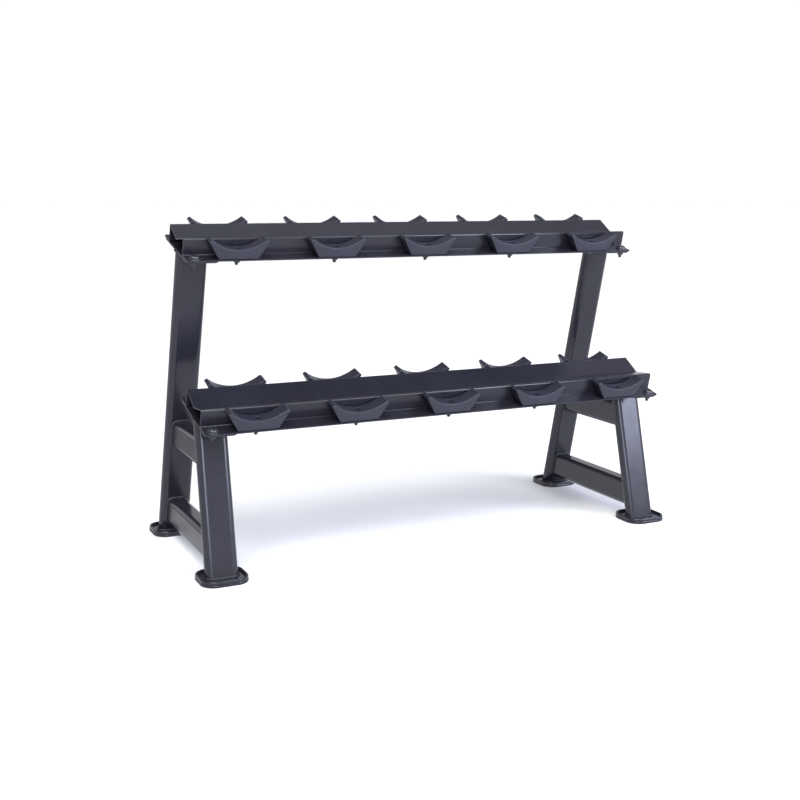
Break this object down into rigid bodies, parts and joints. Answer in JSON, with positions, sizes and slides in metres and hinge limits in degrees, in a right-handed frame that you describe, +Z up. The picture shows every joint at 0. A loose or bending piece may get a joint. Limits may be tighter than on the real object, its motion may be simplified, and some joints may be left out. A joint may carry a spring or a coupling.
{
  "type": "dumbbell rack",
  "caption": "Two-tier storage rack for dumbbells: two leaning end frames carry tilted folded-sheet beams with rows of curved moulded saddles, on wide rubber feet.",
  "frame": {"origin": "on the floor, midway between the four feet (bottom centre of the bounding box)", "axes": "+X along the tiers to the right end, +Y from the front of the rack to its rear, +Z up"},
  "size_m": [1.232, 0.5, 0.7819],
  "materials": {
    "frame_paint": "charcoal satin powder coat with a fine orange peel",
    "saddle_moulding": "dark grey matt moulding",
    "foot_rubber": "black rubber, slightly glossy rim",
    "black_fastener": "black oxide steel, satin"
  },
  "bodies": {
    "root": {"left_front_foot_pad": "foot_rubber", "left_front_foot_plate": "frame_paint", "left_front_leg": "frame_paint", "left_lower_crossbar": "frame_paint", "left_lower_mount_plate": "frame_paint", "left_rear_foot_pad": "foot_rubber", "left_rear_foot_plate": "frame_paint", "left_rear_upright": "frame_paint", "left_upper_crossbar": "frame_paint", "left_upper_mount_plate": "frame_paint", "lower_front_saddle_1": "saddle_moulding", "lower_front_saddle_2": "saddle_moulding", "lower_front_saddle_3": "saddle_moulding", "lower_front_saddle_4": "saddle_moulding", "lower_front_saddle_5": "saddle_moulding", "lower_mount_bolts": "black_fastener", "lower_mount_head_washers": "black_fastener", "lower_mount_nut_washers": "black_fastener", "lower_mount_nuts": "black_fastener", "lower_rear_saddle_1": "saddle_moulding", "lower_rear_saddle_2": "saddle_moulding", "lower_rear_saddle_3": "saddle_moulding", "lower_rear_saddle_4": "saddle_moulding", "lower_rear_saddle_5": "saddle_moulding", "lower_saddle_bolts": "black_fastener", "lower_saddle_nuts": "black_fastener", "lower_saddle_washers": "black_fastener", "lower_tier_beam": "frame_paint", "right_front_foot_pad": "foot_rubber", "right_front_foot_plate": "frame_paint", "right_front_leg": "frame_paint", "right_lower_crossbar": "frame_paint", "right_lower_mount_plate": "frame_paint", "right_rear_foot_pad": "foot_rubber", "right_rear_foot_plate": "frame_paint", "right_rear_upright": "frame_paint", "right_upper_crossbar": "frame_paint", "right_upper_mount_plate": "frame_paint", "upper_front_saddle_1": "saddle_moulding", "upper_front_saddle_2": "saddle_moulding", "upper_front_saddle_3": "saddle_moulding", "upper_front_saddle_4": "saddle_moulding", "upper_front_saddle_5": "saddle_moulding", "upper_mount_bolts": "black_fastener", "upper_mount_head_washers": "black_fastener", "upper_mount_nut_washers": "black_fastener", "upper_mount_nuts": "black_fastener", "upper_rear_saddle_1": "saddle_moulding", "upper_rear_saddle_2": "saddle_moulding", "upper_rear_saddle_3": "saddle_moulding", "upper_rear_saddle_4": "saddle_moulding", "upper_rear_saddle_5": "saddle_moulding", "upper_saddle_bolts": "black_fastener", "upper_saddle_nuts": "black_fastener", "upper_saddle_washers": "black_fastener", "upper_tier_beam": "frame_paint"}
  },
  "joints": []
}
